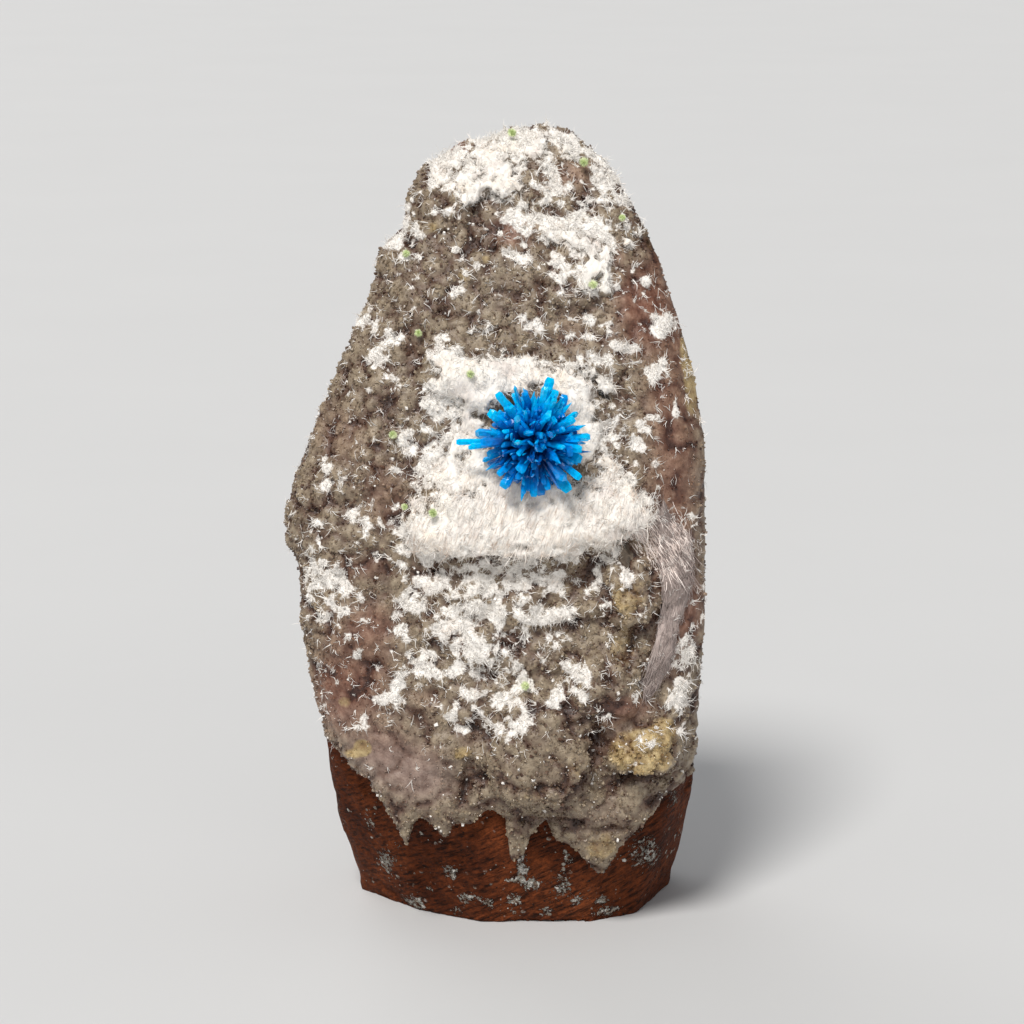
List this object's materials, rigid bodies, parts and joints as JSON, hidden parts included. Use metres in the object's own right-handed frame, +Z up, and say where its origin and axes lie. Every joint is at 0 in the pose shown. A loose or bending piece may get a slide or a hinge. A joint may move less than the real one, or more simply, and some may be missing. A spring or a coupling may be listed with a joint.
{
  "type": "pentagonite specimen",
  "caption": "Blue radiating pentagonite crystals on a standing slab of brown basalt, coated in grey druse and white mordenite fibre.",
  "frame": {"origin": "middle of the specimen's bounding box, on the plane of its sawn foot", "axes": "+Z up out of the foot, +X to the right as the crystals are looked at, -Y out of the crystal-covered front"},
  "size_m": [0.0454, 0.0414, 0.0881],
  "materials": {
    "basalt": "sawn and broken, matt",
    "druse": "granular, sparkling",
    "mordenite": "felted fibre, matt",
    "pentagonite": "vitreous, translucent",
    "green_crystals": "satin"
  },
  "bodies": {
    "root": {"basalt_matrix": "basalt", "druse_crust": "druse", "mordenite_top": "mordenite", "mordenite_bed": "mordenite", "mordenite_band": "mordenite", "mordenite_veil": "mordenite", "pentagonite_cluster": "pentagonite", "green_spherule_01": "green_crystals", "green_spherule_02": "green_crystals", "green_spherule_03": "green_crystals", "green_spherule_04": "green_crystals", "green_spherule_05": "green_crystals", "green_spherule_06": "green_crystals", "green_spherule_07": "green_crystals", "green_spherule_08": "green_crystals", "green_spherule_09": "green_crystals", "green_spherule_10": "green_crystals", "green_spherule_11": "green_crystals"}
  },
  "joints": []
}
